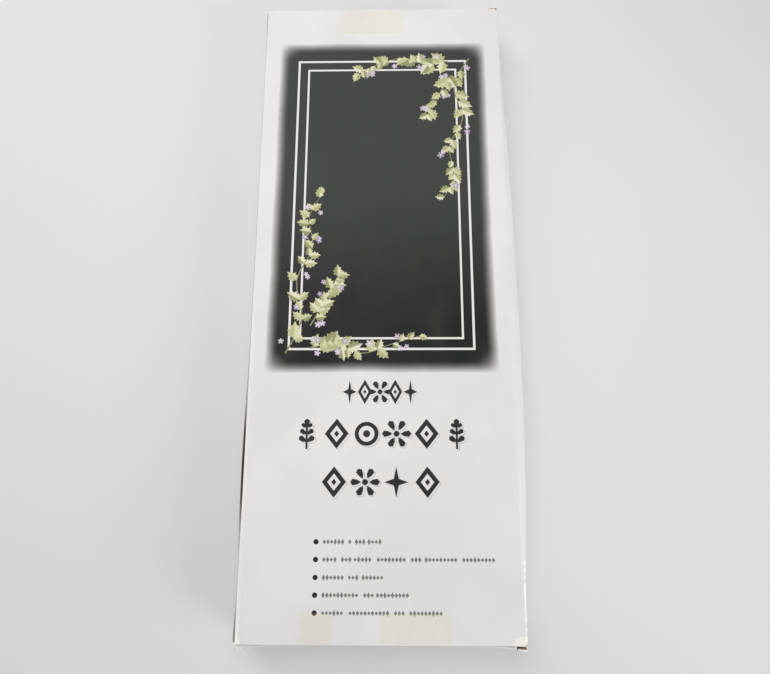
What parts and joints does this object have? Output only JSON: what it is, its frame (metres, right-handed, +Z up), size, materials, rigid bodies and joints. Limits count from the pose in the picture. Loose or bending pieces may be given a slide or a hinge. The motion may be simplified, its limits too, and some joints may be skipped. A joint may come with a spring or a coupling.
{
  "type": "printed cardboard carton",
  "caption": "Shallow tuck-end carton of white-coated corrugated board with a dark picture panel, lying on its back; its end closures, tucks and dust flaps fold.",
  "frame": {"origin": "centre of the box that just holds the carton, on the surface that its back lies on", "axes": "+X across the front towards its folded edge, +Y along the carton towards its far end, +Z up out of the printed front"},
  "size_m": [0.2536, 0.6202, 0.0502],
  "materials": {
    "printed_front": "satin",
    "white_board": "satin",
    "bare_board": "matte",
    "clear_tape": "gloss"
  },
  "bodies": {
    "root": {"front_panel": "printed_front", "back_panel": "white_board", "left_side_panel": "white_board", "right_side_panel": "white_board", "glue_flap": "bare_board", "top_front_tape": "clear_tape", "bottom_left_front_tape": "clear_tape", "bottom_right_front_tape": "clear_tape"},
    "top_closure": {"top_closure": "white_board", "top_end_tape": "clear_tape"},
    "top_tuck": {"top_tuck_flap": "white_board"},
    "top_left_dust": {"top_left_dust_flap": "white_board"},
    "top_right_dust": {"top_right_dust_flap": "white_board"},
    "bottom_closure": {"bottom_closure": "white_board", "bottom_left_end_tape": "clear_tape", "bottom_right_end_tape": "clear_tape"},
    "bottom_tuck": {"bottom_tuck_flap": "white_board"},
    "bottom_left_dust": {"bottom_left_dust_flap": "white_board"},
    "bottom_right_dust": {"bottom_right_dust_flap": "white_board"}
  },
  "joints": [
    {"name": "top_closure_hinge", "type": "hinge", "parent": "root", "child": "top_closure", "pos_m": [0, 0.305, 0.0009], "axis": [-1, 0, 0], "range_deg": [0, 80]},
    {"name": "top_tuck_fold", "type": "hinge", "parent": "top_closure", "child": "top_tuck", "pos_m": [0, 0.3041, 0.0456], "axis": [-1, 0, 0], "range_deg": [-56, 0]},
    {"name": "top_left_dust_fold", "type": "hinge", "parent": "root", "child": "top_left_dust", "pos_m": [-0.12292, 0.3019, 0.023], "axis": [0, 0, -1], "range_deg": [0, 88]},
    {"name": "top_right_dust_fold", "type": "hinge", "parent": "root", "child": "top_right_dust", "pos_m": [0.11428, 0.3019, 0.023], "axis": [0, 0, 1], "range_deg": [0, 88]},
    {"name": "bottom_closure_hinge", "type": "hinge", "parent": "root", "child": "bottom_closure", "pos_m": [0, -0.305, 0.0009], "axis": [1, 0, 0], "range_deg": [0, 80]},
    {"name": "bottom_tuck_fold", "type": "hinge", "parent": "bottom_closure", "child": "bottom_tuck", "pos_m": [0, -0.3041, 0.0456], "axis": [1, 0, 0], "range_deg": [-56, 0]},
    {"name": "bottom_left_dust_fold", "type": "hinge", "parent": "root", "child": "bottom_left_dust", "pos_m": [-0.12292, -0.3019, 0.023], "axis": [0, 0, 1], "range_deg": [0, 88]},
    {"name": "bottom_right_dust_fold", "type": "hinge", "parent": "root", "child": "bottom_right_dust", "pos_m": [0.11428, -0.3019, 0.023], "axis": [0, 0, -1], "range_deg": [0, 88]}
  ],
  "couplings": [
    {"joint": "top_tuck_fold", "follows": "top_closure_hinge", "ratio": -0.7},
    {"joint": "bottom_tuck_fold", "follows": "bottom_closure_hinge", "ratio": -0.7}
  ]
}
